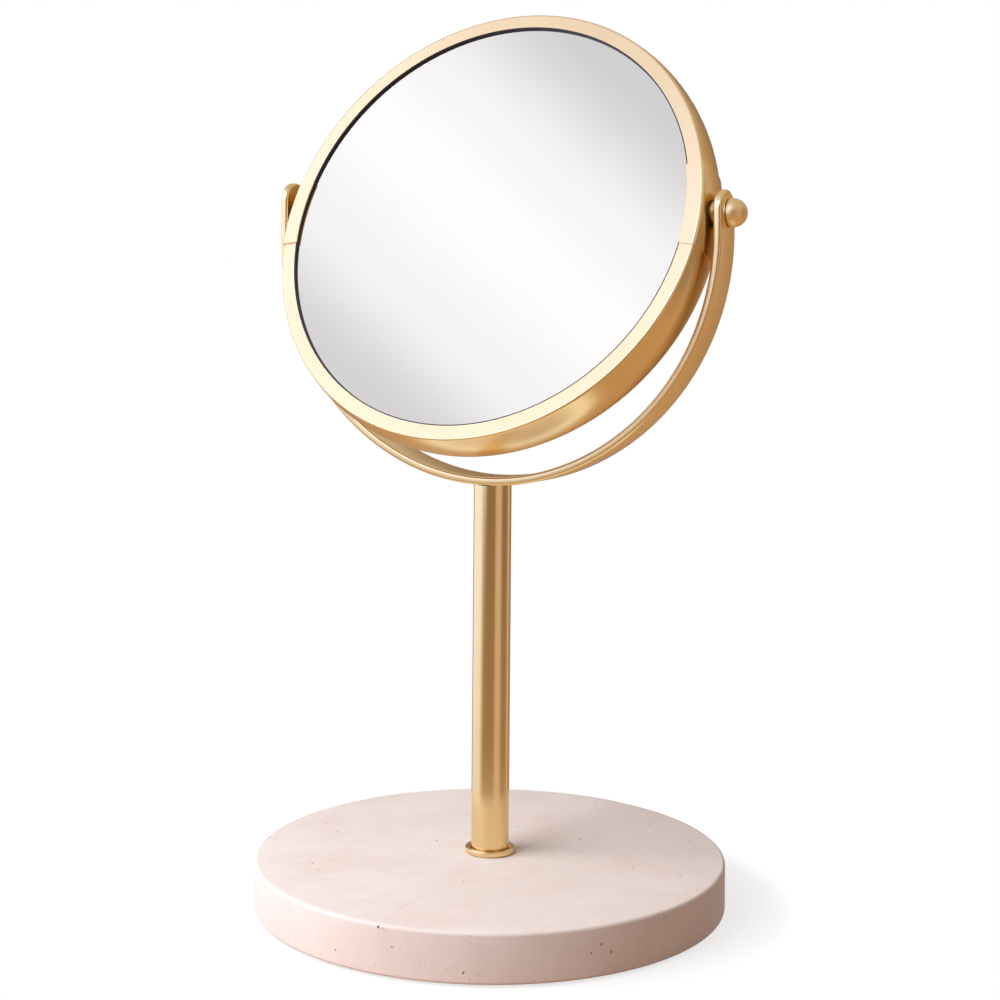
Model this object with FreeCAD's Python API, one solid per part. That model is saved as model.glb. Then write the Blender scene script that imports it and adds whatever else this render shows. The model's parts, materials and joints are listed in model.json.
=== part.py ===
import FreeCAD, Part
import math
import os

# Table mirror: a round two-sided mirror that turns in a half-ring yoke on a post and a heavy round base.
# Millimetres, +Z up. The origin is the centre of the underside. The pivot axis runs along X and the
# mirror faces -Y. The mirror head is built upright about its pivot axis, then tilted back and lifted.

Vector = FreeCAD.Vector
X_AXIS = Vector(1, 0, 0)
Y_AXIS = Vector(0, 1, 0)
Z_AXIS = Vector(0, 0, 1)
ORIGIN = Vector(0, 0, 0)

# Base
SLAB_DIAMETER = 203.0
SLAB_HEIGHT = 20.0
SLAB_EDGE_ROUND = 1.5
PAD_SETBACK = 6.5
PAD_THICKNESS = 1.0

# Bolt that holds the post down, with its two washers
BOLT_DIAMETER = 8.0
BOLT_IN_PLUG = 15.4
BOLT_HEAD_SHOULDER = 2.5
BOLT_HEAD_HEIGHT = 5.3
BOLT_HOLE_CLEARANCE = 0.5
BOLT_HEADROOM = 1.1
LOCK_WASHER_WIDTH = 3.03
LOCK_WASHER_THICKNESS = 2.0
LOCK_WASHER_SPLIT = 1.0
FLAT_WASHER_WIDTH = 7.5
FLAT_WASHER_THICKNESS = 1.6
RECESS_CLEARANCE = 1.0

# Collar round the foot of the post
COLLAR_WALL = 2.5
COLLAR_LIP = 1.5
COLLAR_FLOOR = 1.0
COLLAR_BEVEL = 0.6
COLLAR_FIT = 0.1

# Post
POST_DIAMETER = 16.4
POST_WALL = 1.2
POST_HEIGHT = 159.6
FOOT_PLUG_LENGTH = 20.0
TOP_PLUG_LENGTH = 18.0
PLUG_FIT = 0.02
THREAD_FIT = 0.02

# Yoke: a flat strip bent to a half ring, with straight ears that reach past the pivots. The left one is
# the longer.
YOKE_THICKNESS = 3.7
YOKE_WIDTH = 16.7
YOKE_EDGE_ROUND = 1.3
LEFT_EAR_PAST_PIVOT = 18.0
RIGHT_EAR_PAST_PIVOT = 9.6

# Countersunk screw that holds the yoke on the post
YOKE_SCREW_DIAMETER = 5.0
YOKE_SCREW_IN_PLUG = 13.0
YOKE_SCREW_HEAD_SHOULDER = 2.1
YOKE_SCREW_HEAD_LAND = 0.2
YOKE_SCREW_SOCKET_FLATS = 3.0
YOKE_SCREW_SOCKET_DEPTH = 1.4
YOKE_SCREW_CLEARANCE = 0.05

# Mirror head: a rim channel in two half rings, folded over the edges of two glasses. The drum that the
# channel forms hangs a little below the pivot axis, and its middle is a little above the yoke's. Its wall
# bulges, widest halfway between its two faces.
DRUM_RADIUS = 101.6
DRUM_BULGE = 1.5
DRUM_CORNER = 1.0
DRUM_DROP = 5.4
DRUM_ABOVE_ARC = 3.0
REST_TILT = 22.0
RIM_SHEET = 0.8
RIM_FACE_WIDTH = 6.25

# Clips that join the two half rings at the pivots, cut off along lines from the drum's middle
CLIP_SHEET = 0.6
CLIP_OVERHANG = 0.5
LEFT_CLIP_HALF_ANGLE = 9.2
RIGHT_CLIP_HALF_ANGLE = 10.8

# Glass, gaskets and the ring that spaces the two glasses and holds the pivot nuts
GLASS_THICKNESS = 2.0
GLASS_EDGE_CLEARANCE = 0.3
BACK_GLASS_RADIUS_OF_CURVE = 1500.0
GASKET_THICKNESS = 0.5
GASKET_LIP = 0.5
GASKET_SETBACK = 0.1
SPACER_CLEARANCE = 0.2
SPACER_SIDE_WALL = 3.6
SPACER_PIVOT_WALL = 3.0
SPACER_PAST_NUT = 3.0

# Pivots
PIVOT_DIAMETER = 5.0
PIVOT_RUNNING_FIT = 0.05
PIVOT_HOLE_CLEARANCE = 0.1
PIVOT_END_CHAMFER = 0.4
NUT_WALL = 1.5
NUT_HEIGHT = 4.0
NUT_POCKET_CLEARANCE = 0.1
THREAD_PAST_NUT = 1.0
BUSH_STAND_OFF = 0.3
BUSH_WALL = 2.4
SPRING_WASHER_SETBACK = 0.2
SPRING_WASHER_SHEET = 0.3
SPRING_WASHER_RISE = 0.3
FRICTION_WASHER_WIDTH = 3.4
FRICTION_WASHER_THICKNESS = 0.6
KNOB_RADIUS = 6.0
KNOB_CROWN = 2.3
KNOB_NECK_SETBACK = 1.5
KNOB_NECK_LENGTH = 0.3
KNOB_BACK_FLAT = 1.0
OUTER_WASHER_MARGIN = 0.5
OUTER_WASHER_THICKNESS = 0.7
LOW_HEAD_SHOULDER = 3.0
LOW_HEAD_HEIGHT = 1.2
LOW_HEAD_CHAMFER = 0.5
LOW_HEAD_SOCKET_FLATS = 3.0
LOW_HEAD_SOCKET_DEPTH = 0.8

# Room that a cutting tool runs past the face it cuts
OVERCUT = 1.0

# Radii of the stand
SLAB_RADIUS = SLAB_DIAMETER / 2
PAD_RADIUS = SLAB_RADIUS - PAD_SETBACK
BOLT_RADIUS = BOLT_DIAMETER / 2
BOLT_THREAD_RADIUS = BOLT_RADIUS + THREAD_FIT
BOLT_HOLE_RADIUS = BOLT_RADIUS + BOLT_HOLE_CLEARANCE
BOLT_HEAD_FLATS = BOLT_DIAMETER + 2 * BOLT_HEAD_SHOULDER
LOCK_WASHER_RADIUS = BOLT_THREAD_RADIUS + LOCK_WASHER_WIDTH
FLAT_WASHER_RADIUS = BOLT_HOLE_RADIUS + FLAT_WASHER_WIDTH
POST_RADIUS = POST_DIAMETER / 2
TUBE_BORE_RADIUS = POST_RADIUS - POST_WALL
COLLAR_BORE_RADIUS = POST_RADIUS + COLLAR_FIT
COLLAR_RADIUS = COLLAR_BORE_RADIUS + COLLAR_WALL
YOKE_SCREW_RADIUS = YOKE_SCREW_DIAMETER / 2
YOKE_SCREW_HEAD_RADIUS = YOKE_SCREW_RADIUS + YOKE_SCREW_HEAD_SHOULDER

# Radii and thickness of the mirror head. Depths are counted from its front or back face.
RIM_OPENING_RADIUS = DRUM_RADIUS - DRUM_BULGE - RIM_FACE_WIDTH
NUT_FLATS = PIVOT_DIAMETER + 2 * NUT_WALL
NUT_POCKET_DEPTH = NUT_FLATS + 2 * NUT_POCKET_CLEARANCE
GASKET_DEPTH = RIM_SHEET + GASKET_THICKNESS
GLASS_BACK_DEPTH = GASKET_DEPTH + GLASS_THICKNESS
HALF_DRUM = GLASS_BACK_DEPTH + SPACER_SIDE_WALL + NUT_POCKET_DEPTH / 2
DRUM_THICKNESS = 2 * HALF_DRUM

# The drum's section: its wall is an arc struck from a centre on the middle plane, and each corner is a
# small arc that runs into that wall and into the flat face
WALL_CURVE = (HALF_DRUM ** 2 + DRUM_BULGE ** 2) / (2 * DRUM_BULGE)
WALL_CENTRE = DRUM_RADIUS - WALL_CURVE
CORNER_LEVEL = HALF_DRUM - DRUM_CORNER
CORNER_CENTRE = WALL_CENTRE + math.sqrt((WALL_CURVE - DRUM_CORNER) ** 2 - CORNER_LEVEL ** 2)


def channel_radius_at(depth):
    """Inside radius of the rim channel at a depth from its face, along its bulging wall."""
    return WALL_CENTRE + math.sqrt((WALL_CURVE - RIM_SHEET) ** 2 - (HALF_DRUM - depth) ** 2)


GLASS_RADIUS = channel_radius_at(GASKET_DEPTH) - GLASS_EDGE_CLEARANCE
SPACER_RADIUS = channel_radius_at(GLASS_BACK_DEPTH) - SPACER_CLEARANCE

# Places along the pivot axis, counted out from the middle
PIVOT_RADIUS = PIVOT_DIAMETER / 2
PIVOT_HOLE_RADIUS = PIVOT_RADIUS + PIVOT_HOLE_CLEARANCE
PIVOT_THREAD_RADIUS = PIVOT_RADIUS + THREAD_FIT
NUT_SEAT = SPACER_RADIUS - SPACER_PIVOT_WALL
NUT_END = NUT_SEAT - NUT_HEIGHT
THREAD_END = NUT_END - THREAD_PAST_NUT
SPACER_INNER_RADIUS = NUT_END - SPACER_PAST_NUT
CLIP_RADIUS = DRUM_RADIUS + CLIP_SHEET
SPRING_WASHER_INNER = CLIP_RADIUS + BUSH_STAND_OFF
FRICTION_WASHER_INNER = SPRING_WASHER_INNER + SPRING_WASHER_SHEET + SPRING_WASHER_RISE
YOKE_INNER_RADIUS = FRICTION_WASHER_INNER + FRICTION_WASHER_THICKNESS
YOKE_RADIUS = YOKE_INNER_RADIUS + YOKE_THICKNESS
OUTER_WASHER_OUTER = YOKE_RADIUS + OUTER_WASHER_THICKNESS
KNOB_BASE = OUTER_WASHER_OUTER + KNOB_NECK_LENGTH
KNOB_CENTRE = KNOB_BASE + KNOB_BACK_FLAT
STUD_END = KNOB_CENTRE + KNOB_RADIUS - KNOB_CROWN

# Radii of the turned pieces on the pivot axis
BUSH_RADIUS = PIVOT_HOLE_RADIUS + BUSH_WALL
SPRING_WASHER_RADIUS = BUSH_RADIUS - SPRING_WASHER_SETBACK
FRICTION_WASHER_RADIUS = PIVOT_HOLE_RADIUS + FRICTION_WASHER_WIDTH
OUTER_WASHER_RADIUS = KNOB_RADIUS + OUTER_WASHER_MARGIN
KNOB_NECK_RADIUS = KNOB_RADIUS - KNOB_NECK_SETBACK
LOW_HEAD_RADIUS = PIVOT_RADIUS + LOW_HEAD_SHOULDER

# Levels of the stand, from the floor up
SLAB_BOTTOM = PAD_THICKNESS
SLAB_TOP = SLAB_BOTTOM + SLAB_HEIGHT
BOLT_HEAD_BOTTOM = SLAB_BOTTOM + BOLT_HEADROOM
BOLT_HEAD_TOP = BOLT_HEAD_BOTTOM + BOLT_HEAD_HEIGHT
FLAT_WASHER_BOTTOM = BOLT_HEAD_TOP + LOCK_WASHER_THICKNESS
RECESS_TOP = FLAT_WASHER_BOTTOM + FLAT_WASHER_THICKNESS
TUBE_BOTTOM = SLAB_TOP + COLLAR_FLOOR
BOLT_END = TUBE_BOTTOM + BOLT_IN_PLUG
COLLAR_TOP = TUBE_BOTTOM + COLLAR_LIP
TUBE_TOP = SLAB_TOP + POST_HEIGHT
YOKE_SCREW_END = TUBE_TOP - YOKE_SCREW_IN_PLUG
YOKE_FLOOR = TUBE_TOP + YOKE_THICKNESS
ARC_LEVEL = TUBE_TOP + YOKE_RADIUS
PIVOT_LEVEL = ARC_LEVEL + DRUM_ABOVE_ARC + DRUM_DROP
EAR_TOPS = {-1: PIVOT_LEVEL + LEFT_EAR_PAST_PIVOT, 1: PIVOT_LEVEL + RIGHT_EAR_PAST_PIVOT}
EAR_END_RADIUS = YOKE_WIDTH / 2


# Plain shapes

def cylinder_z(radius, bottom, top):
    return Part.makeCylinder(radius, top - bottom, Vector(0, 0, bottom), Z_AXIS)


def cylinder_x(radius, start, end):
    return Part.makeCylinder(radius, end - start, Vector(start, 0, 0), X_AXIS)


def hexagon_z(flats, bottom, top):
    corner_radius = flats / math.sqrt(3)
    angles = [math.radians(60 * step) for step in range(7)]
    points = [Vector(corner_radius * math.cos(a), corner_radius * math.sin(a), bottom) for a in angles]
    return Part.Face(Part.makePolygon(points)).extrude(Vector(0, 0, top - bottom))


def laid_along_x(shape):
    """Turn a shape built along +Z so that it runs along +X."""
    shape.rotate(ORIGIN, Y_AXIS, 90)
    return shape


def edges_at_level(shape, level, radius):
    """Round edges of one radius at one level, for a fillet or a chamfer."""
    found = []
    for edge in shape.Edges:
        box = edge.BoundBox
        level_matches = abs(box.ZMin - level) < 1e-6 and abs(box.ZMax - level) < 1e-6
        if level_matches and abs(box.XMax - radius) < 1e-6:
            found.append(edge)
    return found


def rounded_plate(radius, bottom, top, edge_round):
    """Disc with both rims rounded."""
    plate = cylinder_z(radius, bottom, top)
    rims = edges_at_level(plate, bottom, radius) + edges_at_level(plate, top, radius)
    return plate.makeFillet(edge_round, rims)


def turned_about_y(lines_and_arcs):
    """Ring or disc turned about the Y axis from a closed outline in the X-Y plane."""
    wire = Part.Wire(Part.sortEdges(lines_and_arcs)[0])
    return Part.Face(wire).revolve(ORIGIN, Y_AXIS, 360)


def line(start, end):
    return Part.LineSegment(Vector(*start, 0), Vector(*end, 0)).toShape()


def arc(start, middle, end):
    return Part.Arc(Vector(*start, 0), Vector(*middle, 0), Vector(*end, 0)).toShape()


# Stand

def base_slab():
    slab = rounded_plate(SLAB_RADIUS, SLAB_BOTTOM, SLAB_TOP, SLAB_EDGE_ROUND)
    recess_radius = FLAT_WASHER_RADIUS + RECESS_CLEARANCE
    slab = slab.cut(cylinder_z(recess_radius, SLAB_BOTTOM - OVERCUT, RECESS_TOP))
    return slab.cut(cylinder_z(BOLT_HOLE_RADIUS, SLAB_BOTTOM, SLAB_TOP + OVERCUT))


def base_pad():
    return cylinder_z(PAD_RADIUS, 0, PAD_THICKNESS)


def base_bolt():
    head = hexagon_z(BOLT_HEAD_FLATS, BOLT_HEAD_BOTTOM, BOLT_HEAD_TOP)
    shank = cylinder_z(BOLT_RADIUS, BOLT_HEAD_TOP, BOLT_END)
    return head.fuse(shank)


def base_lock_washer():
    ring = cylinder_z(LOCK_WASHER_RADIUS, BOLT_HEAD_TOP, FLAT_WASHER_BOTTOM)
    ring = ring.cut(cylinder_z(BOLT_THREAD_RADIUS, BOLT_HEAD_TOP - OVERCUT, FLAT_WASHER_BOTTOM + OVERCUT))
    split_corner = Vector(0, -LOCK_WASHER_SPLIT / 2, BOLT_HEAD_TOP - OVERCUT)
    split_height = LOCK_WASHER_THICKNESS + 2 * OVERCUT
    return ring.cut(Part.makeBox(2 * LOCK_WASHER_RADIUS, LOCK_WASHER_SPLIT, split_height, split_corner))


def base_washer():
    disc = cylinder_z(FLAT_WASHER_RADIUS, FLAT_WASHER_BOTTOM, RECESS_TOP)
    return disc.cut(cylinder_z(BOLT_HOLE_RADIUS, FLAT_WASHER_BOTTOM - OVERCUT, RECESS_TOP + OVERCUT))


def foot_collar():
    ring = cylinder_z(COLLAR_RADIUS, SLAB_TOP, COLLAR_TOP)
    ring = ring.makeChamfer(COLLAR_BEVEL, edges_at_level(ring, COLLAR_TOP, COLLAR_RADIUS))
    ring = ring.cut(cylinder_z(COLLAR_BORE_RADIUS, TUBE_BOTTOM, COLLAR_TOP + OVERCUT))
    return ring.cut(cylinder_z(BOLT_HOLE_RADIUS, SLAB_TOP - OVERCUT, TUBE_BOTTOM + OVERCUT))


def yoke_underside():
    """Round solid that copes whatever meets the yoke from below."""
    start = Vector(0, -POST_DIAMETER, ARC_LEVEL)
    return Part.makeCylinder(YOKE_RADIUS, 2 * POST_DIAMETER, start, Y_AXIS)


def post_tube():
    tube = cylinder_z(POST_RADIUS, TUBE_BOTTOM, TUBE_TOP + POST_RADIUS)
    tube = tube.cut(cylinder_z(TUBE_BORE_RADIUS, TUBE_BOTTOM - OVERCUT, TUBE_TOP + POST_DIAMETER))
    return tube.cut(yoke_underside())


def post_foot_plug():
    top = TUBE_BOTTOM + FOOT_PLUG_LENGTH
    plug = cylinder_z(TUBE_BORE_RADIUS - PLUG_FIT, TUBE_BOTTOM, top)
    return plug.cut(cylinder_z(BOLT_THREAD_RADIUS, TUBE_BOTTOM - OVERCUT, top + OVERCUT))


def post_top_plug():
    bottom = TUBE_TOP - TOP_PLUG_LENGTH
    plug = cylinder_z(TUBE_BORE_RADIUS - PLUG_FIT, bottom, TUBE_TOP + POST_RADIUS)
    plug = plug.cut(yoke_underside())
    thread = cylinder_z(YOKE_SCREW_RADIUS + THREAD_FIT, bottom - OVERCUT, TUBE_TOP + POST_DIAMETER)
    return plug.cut(thread).cut(yoke_screw_body(THREAD_FIT))


def yoke_strip():
    """Half ring and its straight ears as one bent strip, before the ends are shaped."""
    front = -YOKE_WIDTH / 2

    def at(x, z):
        return Vector(x, front, z)

    def bend(radius):
        return Part.Arc(at(-radius, ARC_LEVEL), at(0, ARC_LEVEL - radius), at(radius, ARC_LEVEL)).toShape()

    def ear_outline(side):
        outer = side * YOKE_RADIUS
        inner = side * YOKE_INNER_RADIUS
        top = EAR_TOPS[side]
        corners = [at(outer, ARC_LEVEL), at(outer, top), at(inner, top), at(inner, ARC_LEVEL)]
        return [Part.LineSegment(*pair).toShape() for pair in zip(corners, corners[1:])]

    outline = [bend(YOKE_RADIUS), *ear_outline(1), bend(YOKE_INNER_RADIUS), *ear_outline(-1)]
    strip_side = Part.Face(Part.Wire(Part.sortEdges(outline)[0]))
    return strip_side.extrude(Vector(0, YOKE_WIDTH, 0))


def ear_end_envelope(side):
    """Side view of the strip on one side: as wide as the yoke, with a half-round top at the ear's end."""
    bottom = TUBE_TOP - OVERCUT
    reach = YOKE_RADIUS + OVERCUT
    start = min(0, side * reach)
    level = EAR_TOPS[side] - EAR_END_RADIUS
    box = Part.makeBox(reach, YOKE_WIDTH, level - bottom, Vector(start, -EAR_END_RADIUS, bottom))
    return box.fuse(Part.makeCylinder(EAR_END_RADIUS, reach, Vector(start, 0, level), X_AXIS))


def yoke_rim_edges(shape):
    """Long edges of the strip: all those in its front, back and rounded end outlines."""
    found = []
    for edge in shape.Edges:
        middle = edge.valueAt((edge.FirstParameter + edge.LastParameter) / 2)
        side = 1 if middle.x > 0 else -1
        on_side = abs(abs(middle.y) - EAR_END_RADIUS) < 1e-4
        on_end = middle.z > EAR_TOPS[side] - EAR_END_RADIUS + 1e-4
        across = edge.BoundBox.XLength > YOKE_THICKNESS - 1e-4 and edge.BoundBox.ZLength < 1e-4
        if (on_side or on_end) and not across:
            found.append(edge)
    return found


def yoke():
    envelope = ear_end_envelope(-1).fuse(ear_end_envelope(1)).removeSplitter()
    strip = yoke_strip().common(envelope).removeSplitter()
    strip = strip.makeFillet(YOKE_EDGE_ROUND, yoke_rim_edges(strip))
    pivot_bore = cylinder_x(PIVOT_RADIUS + PIVOT_RUNNING_FIT, -YOKE_RADIUS - OVERCUT, YOKE_RADIUS + OVERCUT)
    pivot_bore.translate(Vector(0, 0, PIVOT_LEVEL))
    strip = strip.cut(pivot_bore)
    screw_room = yoke_screw_body(YOKE_SCREW_CLEARANCE)
    above = cylinder_z(YOKE_SCREW_HEAD_RADIUS + YOKE_SCREW_CLEARANCE, YOKE_FLOOR, ARC_LEVEL)
    return strip.cut(screw_room).cut(above)


def yoke_screw_body(clearance):
    """Countersunk screw, or the room for it. Its head is flush with the lowest point of the yoke's hollow."""
    head_radius = YOKE_SCREW_HEAD_RADIUS + clearance
    shank_radius = YOKE_SCREW_RADIUS + clearance
    cone_top = YOKE_FLOOR - YOKE_SCREW_HEAD_LAND
    cone_bottom = cone_top - YOKE_SCREW_HEAD_SHOULDER
    land = cylinder_z(head_radius, cone_top, YOKE_FLOOR)
    foot = Vector(0, 0, cone_bottom)
    cone = Part.makeCone(shank_radius, head_radius, YOKE_SCREW_HEAD_SHOULDER, foot, Z_AXIS)
    shank = cylinder_z(shank_radius, YOKE_SCREW_END, cone_bottom)
    return land.fuse([cone, shank])


def yoke_screw():
    socket = hexagon_z(YOKE_SCREW_SOCKET_FLATS, YOKE_FLOOR - YOKE_SCREW_SOCKET_DEPTH, YOKE_FLOOR + OVERCUT)
    return yoke_screw_body(0).cut(socket)


# Mirror head, built upright: pivot axis along X through the origin, front face towards -Y

def lowered(shape):
    """Hang a piece built about the middle of the drum below the pivot axis."""
    shape.translate(Vector(0, 0, -DRUM_DROP))
    return shape


def channel_outline(opening, offset):
    """Three sides of the drum's section moved out by an offset, from the front opening to the back one."""
    corner_radius = DRUM_CORNER + offset
    face = CORNER_LEVEL + corner_radius
    corner_turn = math.atan2(CORNER_CENTRE - WALL_CENTRE, CORNER_LEVEL)

    def on_corner(turn, side):
        """Point on the corner's arc, turned from the face's end towards the wall's end."""
        level = CORNER_LEVEL + corner_radius * math.cos(turn)
        return (CORNER_CENTRE + corner_radius * math.sin(turn), side * level)

    def corner_arc(side):
        return arc(on_corner(0, side), on_corner(corner_turn / 2, side), on_corner(corner_turn, side))

    return [
        line((opening, -face), (CORNER_CENTRE, -face)),
        corner_arc(-1),
        arc(on_corner(corner_turn, -1), (DRUM_RADIUS + offset, 0), on_corner(corner_turn, 1)),
        corner_arc(1),
        line((CORNER_CENTRE, face), (opening, face)),
    ]


def channel_section(opening, inside, outside):
    """C-shaped section of sheet metal between two offsets from the drum's outline."""
    section = channel_outline(opening, outside) + channel_outline(opening, inside)
    for side in (-1, 1):
        inner_end = (opening, side * (HALF_DRUM + inside))
        outer_end = (opening, side * (HALF_DRUM + outside))
        section.append(line(inner_end, outer_end))
    return section


def pivot_hole():
    reach = CLIP_RADIUS + OVERCUT
    return cylinder_x(PIVOT_HOLE_RADIUS, -reach, reach)


def rim_channel():
    ring = lowered(turned_about_y(channel_section(RIM_OPENING_RADIUS, -RIM_SHEET, 0)))
    return ring.cut(pivot_hole())


def half_space(side):
    """Block above the pivot axis for side +1, below it for side -1."""
    reach = 2 * CLIP_RADIUS
    bottom = 0 if side > 0 else -reach
    return Part.makeBox(2 * reach, 2 * reach, reach, Vector(-reach, -reach, bottom))


def half_rim(side):
    return rim_channel().common(half_space(side))


def clip(half_angle, side):
    """Sheet clip over both half rings, cut off at equal angles above and below the pivot."""
    ring = turned_about_y(channel_section(RIM_OPENING_RADIUS - CLIP_OVERHANG, 0, CLIP_SHEET))
    pivot_angle = math.degrees(math.asin(DRUM_DROP / DRUM_RADIUS))
    reach = (CLIP_RADIUS + OVERCUT) / math.cos(math.radians(half_angle))
    corners = [ORIGIN]
    for angle in (pivot_angle - half_angle, pivot_angle + half_angle):
        turn = math.radians(angle)
        corners.append(Vector(reach * math.cos(turn), 0, reach * math.sin(turn)))
    sector = Part.Face(Part.makePolygon(corners + [ORIGIN]))
    sector.translate(Vector(0, -DRUM_THICKNESS, 0))
    piece = lowered(ring.common(sector.extrude(Vector(0, 2 * DRUM_THICKNESS, 0))))
    return on_side(piece.cut(pivot_hole()), side)


def front_mirror():
    start = Vector(0, -HALF_DRUM + GASKET_DEPTH, 0)
    return lowered(Part.makeCylinder(GLASS_RADIUS, GLASS_THICKNESS, start, Y_AXIS))


def back_glass_centre():
    """Y of the centre that both faces of the hollow back glass are struck from."""
    edge = HALF_DRUM - GASKET_DEPTH
    return edge + math.sqrt(BACK_GLASS_RADIUS_OF_CURVE ** 2 - GLASS_RADIUS ** 2)


def back_glass_face(radius, depth_in_glass):
    """Point on the back glass at a radius: its seen face at depth 0, its inner face at full depth."""
    curve = BACK_GLASS_RADIUS_OF_CURVE + depth_in_glass
    return (radius, back_glass_centre() - math.sqrt(curve ** 2 - radius ** 2))


def back_mirror():
    rim = GLASS_RADIUS
    inner = GLASS_THICKNESS
    outline = [
        arc(back_glass_face(0, 0), back_glass_face(rim / 2, 0), back_glass_face(rim, 0)),
        line(back_glass_face(rim, 0), back_glass_face(rim, inner)),
        arc(back_glass_face(rim, inner), back_glass_face(rim / 2, inner), back_glass_face(0, inner)),
        line(back_glass_face(0, inner), back_glass_face(0, 0)),
    ]
    return lowered(turned_about_y(outline))


def front_gasket():
    """L-shaped ring: a flat under the folded rim and a lip that lines the rim's opening."""
    outer = CORNER_CENTRE
    lip_edge = RIM_OPENING_RADIUS - GASKET_LIP
    lip_top = -HALF_DRUM + GASKET_SETBACK
    sheet_back = -HALF_DRUM + RIM_SHEET
    glass_face = -HALF_DRUM + GASKET_DEPTH
    corners = [
        (lip_edge, glass_face), (outer, glass_face), (outer, sheet_back), (RIM_OPENING_RADIUS, sheet_back),
        (RIM_OPENING_RADIUS, lip_top), (lip_edge, lip_top),
    ]
    outline = [line(start, end) for start, end in zip(corners, corners[1:] + corners[:1])]
    return lowered(turned_about_y(outline))


def back_gasket():
    """The same ring for the back, with its inner face struck to the hollow glass."""
    outer = CORNER_CENTRE
    lip_edge = RIM_OPENING_RADIUS - GASKET_LIP
    lip_top = HALF_DRUM - GASKET_SETBACK
    sheet_back = HALF_DRUM - RIM_SHEET
    on_glass = [back_glass_face(radius, 0) for radius in (lip_edge, (lip_edge + outer) / 2, outer)]
    outline = [
        arc(*on_glass),
        line(on_glass[2], (outer, sheet_back)),
        line((outer, sheet_back), (RIM_OPENING_RADIUS, sheet_back)),
        line((RIM_OPENING_RADIUS, sheet_back), (RIM_OPENING_RADIUS, lip_top)),
        line((RIM_OPENING_RADIUS, lip_top), (lip_edge, lip_top)),
        line((lip_edge, lip_top), on_glass[0]),
    ]
    return lowered(turned_about_y(outline))


def spacer_ring():
    """Ring that holds the glasses apart, with a pocket for each pivot nut, open to the middle."""
    inner = SPACER_INNER_RADIUS
    rim = GLASS_RADIUS
    front = -HALF_DRUM + GLASS_BACK_DEPTH
    on_glass = [back_glass_face(radius, GLASS_THICKNESS) for radius in (rim, (rim + inner) / 2, inner)]
    outline = [
        line((inner, front), (SPACER_RADIUS, front)),
        line((SPACER_RADIUS, front), (SPACER_RADIUS, on_glass[0][1])),
        line((SPACER_RADIUS, on_glass[0][1]), on_glass[0]),
        arc(*on_glass),
        line(on_glass[2], (inner, front)),
    ]
    ring = lowered(turned_about_y(outline))
    pocket_height = 2 * NUT_FLATS / math.sqrt(3) + 2 * NUT_POCKET_CLEARANCE
    corner = Vector(-NUT_SEAT, -NUT_POCKET_DEPTH / 2, -pocket_height / 2)
    pocket = Part.makeBox(2 * NUT_SEAT, NUT_POCKET_DEPTH, pocket_height, corner)
    return ring.cut(pocket).cut(pivot_hole())


# Pivots, built on the right and mirrored for the left

def on_side(shape, side):
    if side > 0:
        return shape
    return shape.mirror(ORIGIN, X_AXIS)


def washer_x(radius, start, end):
    """Disc on the pivot axis, with the hole that the stud or screw passes through."""
    return cylinder_x(radius, start, end).cut(cylinder_x(PIVOT_HOLE_RADIUS, start - OVERCUT, end + OVERCUT))


def chamfered_rod(start, end):
    """Rod on the pivot axis with a small chamfer at its inner end."""
    rod = cylinder_x(PIVOT_RADIUS, start + PIVOT_END_CHAMFER, end)
    tip_radius = PIVOT_RADIUS - PIVOT_END_CHAMFER
    tip = Part.makeCone(tip_radius, PIVOT_RADIUS, PIVOT_END_CHAMFER, Vector(start, 0, 0), X_AXIS)
    return rod.fuse(tip)


def pivot_nut(side):
    nut = laid_along_x(hexagon_z(NUT_FLATS, NUT_END, NUT_SEAT))
    thread = cylinder_x(PIVOT_THREAD_RADIUS, NUT_END - OVERCUT, NUT_SEAT + OVERCUT)
    return on_side(nut.cut(thread), side)


def pivot_bush(side):
    """Bush between the clip and the spring washer. Its inner face is hollowed to the clip's round."""
    bush = washer_x(BUSH_RADIUS, NUT_SEAT, SPRING_WASHER_INNER)
    face = HALF_DRUM + CLIP_SHEET
    clip_outside = turned_about_y(channel_outline(0, CLIP_SHEET) + [line((0, face), (0, -face))])
    return on_side(bush.cut(lowered(clip_outside)), side)


def spring_washer(side):
    """Dished washer: its rim bears on the bush's side and its crown on the friction washer."""
    rim = SPRING_WASHER_INNER
    crown = FRICTION_WASHER_INNER
    corners = [
        (rim, SPRING_WASHER_RADIUS), (rim + SPRING_WASHER_SHEET, SPRING_WASHER_RADIUS),
        (crown, PIVOT_HOLE_RADIUS), (crown - SPRING_WASHER_SHEET, PIVOT_HOLE_RADIUS),
    ]
    outline = [line(start, end) for start, end in zip(corners, corners[1:] + corners[:1])]
    return on_side(Part.Face(Part.Wire(outline)).revolve(ORIGIN, X_AXIS, 360), side)


def friction_washer(side):
    return on_side(washer_x(FRICTION_WASHER_RADIUS, FRICTION_WASHER_INNER, YOKE_INNER_RADIUS), side)


def right_outer_washer():
    return washer_x(OUTER_WASHER_RADIUS, YOKE_RADIUS, OUTER_WASHER_OUTER)


def right_pivot_stud():
    return chamfered_rod(THREAD_END, STUD_END)


def right_knob():
    """Ball nut, flat behind, with a short neck, screwed on the outer end of the stud."""
    ball = Part.makeSphere(KNOB_RADIUS, Vector(KNOB_CENTRE, 0, 0))
    dome = ball.common(cylinder_x(KNOB_RADIUS + OVERCUT, KNOB_BASE, KNOB_CENTRE + KNOB_RADIUS + OVERCUT))
    neck = cylinder_x(KNOB_NECK_RADIUS, OUTER_WASHER_OUTER, KNOB_BASE)
    return dome.fuse(neck).cut(cylinder_x(PIVOT_THREAD_RADIUS, YOKE_RADIUS, STUD_END))


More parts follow.
